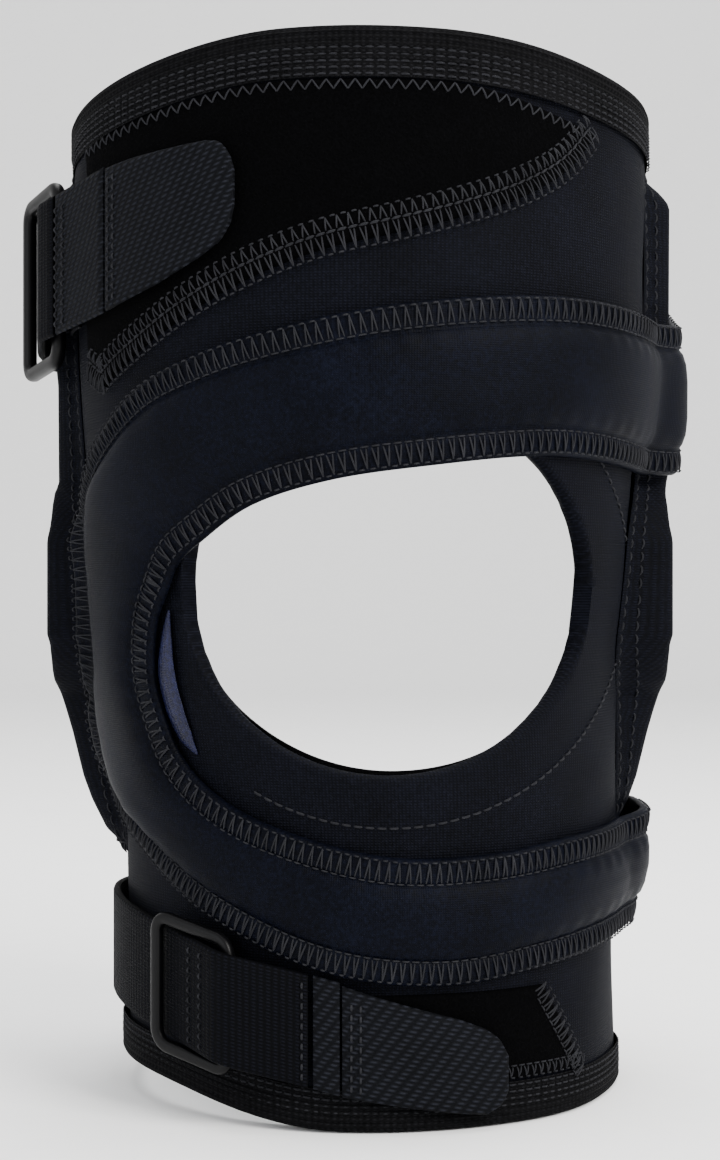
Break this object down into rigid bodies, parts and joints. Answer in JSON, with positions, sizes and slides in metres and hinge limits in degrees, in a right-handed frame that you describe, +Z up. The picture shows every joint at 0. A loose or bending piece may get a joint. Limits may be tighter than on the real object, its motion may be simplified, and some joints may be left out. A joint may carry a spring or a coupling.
{
  "type": "hinged knee brace",
  "caption": "Hinged neoprene knee brace with an open kneecap window, a C-shaped kneecap pad, side hinges in stitched pockets, and thigh and calf straps through rings.",
  "frame": {"origin": "centre of the calf opening, in the plane of the bottom rim", "axes": "+Z up the leg, the front of the knee faces -Y, +X towards the medial side of a right knee"},
  "size_m": [0.1717, 0.1527, 0.2499],
  "materials": {
    "neoprene": "matt nylon-faced neoprene",
    "pad_neoprene": "smooth nylon-faced foam",
    "hem_knit": "ribbed knitted binding",
    "loop_plush": "brushed loop pile",
    "strap_elastic": "woven elastic",
    "hook_patch": "moulded hooks",
    "webbing": "woven webbing",
    "ring_plastic": "satin acetal",
    "satin_piping": "blue satin",
    "pocket_fabric": "nylon-faced fabric",
    "hinge_foam": "closed-cell foam",
    "arm_aluminium": "anodised",
    "hinge_steel": "brushed",
    "cap_rubber": "matt"
  },
  "bodies": {
    "thigh": {"thigh_sleeve": "neoprene", "thigh_hem": "hem_knit", "thigh_loop_panel": "loop_plush", "thigh_strap": "strap_elastic", "thigh_keeper": "webbing", "upper_pad_band": "pad_neoprene", "window_pad_upper": "pad_neoprene", "lateral_upper_arm": "arm_aluminium", "lateral_upper_cap": "cap_rubber", "lateral_upper_pocket": "pocket_fabric", "medial_upper_arm": "arm_aluminium", "medial_upper_cap": "cap_rubber", "medial_upper_pocket": "pocket_fabric"},
    "hinge_link": {"lateral_inner_plate": "hinge_steel", "lateral_outer_plate": "hinge_steel", "lateral_upper_rivet": "hinge_steel", "lateral_lower_rivet": "hinge_steel", "lateral_extension_stops": "hinge_steel", "lateral_flexion_stops": "hinge_steel", "lateral_hinge_pad": "hinge_foam", "lateral_hinge_cover": "pocket_fabric", "medial_inner_plate": "hinge_steel", "medial_outer_plate": "hinge_steel", "medial_upper_rivet": "hinge_steel", "medial_lower_rivet": "hinge_steel", "medial_extension_stops": "hinge_steel", "medial_flexion_stops": "hinge_steel", "medial_hinge_pad": "hinge_foam", "medial_hinge_cover": "pocket_fabric"},
    "calf": {"calf_sleeve": "neoprene", "calf_hem": "hem_knit", "calf_loop_panel": "loop_plush", "calf_strap": "strap_elastic", "calf_keeper": "webbing", "lower_pad_band": "pad_neoprene", "window_pad_lower": "pad_neoprene", "buttress_piping": "satin_piping", "lateral_lower_arm": "arm_aluminium", "lateral_lower_cap": "cap_rubber", "lateral_lower_pocket": "pocket_fabric", "medial_lower_arm": "arm_aluminium", "medial_lower_cap": "cap_rubber", "medial_lower_pocket": "pocket_fabric"},
    "thigh_ring": {"thigh_ring": "ring_plastic"},
    "calf_ring": {"calf_ring": "ring_plastic"},
    "thigh_tab": {"thigh_tab": "strap_elastic", "thigh_hook": "hook_patch"},
    "calf_tab": {"calf_tab": "strap_elastic", "calf_hook": "hook_patch"},
    "upper_band_tab": {"upper_band_tab": "strap_elastic", "upper_band_hook": "hook_patch"},
    "lower_band_tab": {"lower_band_tab": "strap_elastic", "lower_band_hook": "hook_patch"}
  },
  "joints": [
    {"name": "link_swing", "type": "hinge", "parent": "thigh", "child": "hinge_link", "pos_m": [0, 0.01, 0.131], "axis": [1, 0, 0], "range_deg": [0, 45]},
    {"name": "knee_flexion", "type": "hinge", "parent": "hinge_link", "child": "calf", "pos_m": [0, 0.01, 0.117], "axis": [1, 0, 0], "range_deg": [0, 45]},
    {"name": "thigh_ring_pivot", "type": "hinge", "parent": "thigh", "child": "thigh_ring", "pos_m": [-0.0748, -0.017, 0.2024], "axis": [0, 0, 1], "range_deg": [0, 60]},
    {"name": "calf_ring_pivot", "type": "hinge", "parent": "calf", "child": "calf_ring", "pos_m": [-0.03021, -0.05682, 0.0282], "axis": [0, 0, 1], "range_deg": [0, 60]},
    {"name": "thigh_tab_peel", "type": "hinge", "parent": "thigh", "child": "thigh_tab", "pos_m": [-0.06046, -0.04589, 0.206], "axis": [0, 0, -1], "range_deg": [0, 80]},
    {"name": "calf_tab_peel", "type": "hinge", "parent": "calf", "child": "calf_tab", "pos_m": [-0.00595, -0.06413, 0.022], "axis": [0, 0, -1], "range_deg": [0, 80]},
    {"name": "upper_band_tab_peel", "type": "hinge", "parent": "thigh", "child": "upper_band_tab", "pos_m": [0.04878, 0.05671, 0.195], "axis": [0, 0, -1], "range_deg": [0, 80]},
    {"name": "lower_band_tab_peel", "type": "hinge", "parent": "calf", "child": "lower_band_tab", "pos_m": [0.03783, 0.05075, 0.051], "axis": [0, 0, -1], "range_deg": [0, 80]}
  ],
  "couplings": [
    {"joint": "knee_flexion", "follows": "link_swing", "ratio": 1}
  ]
}
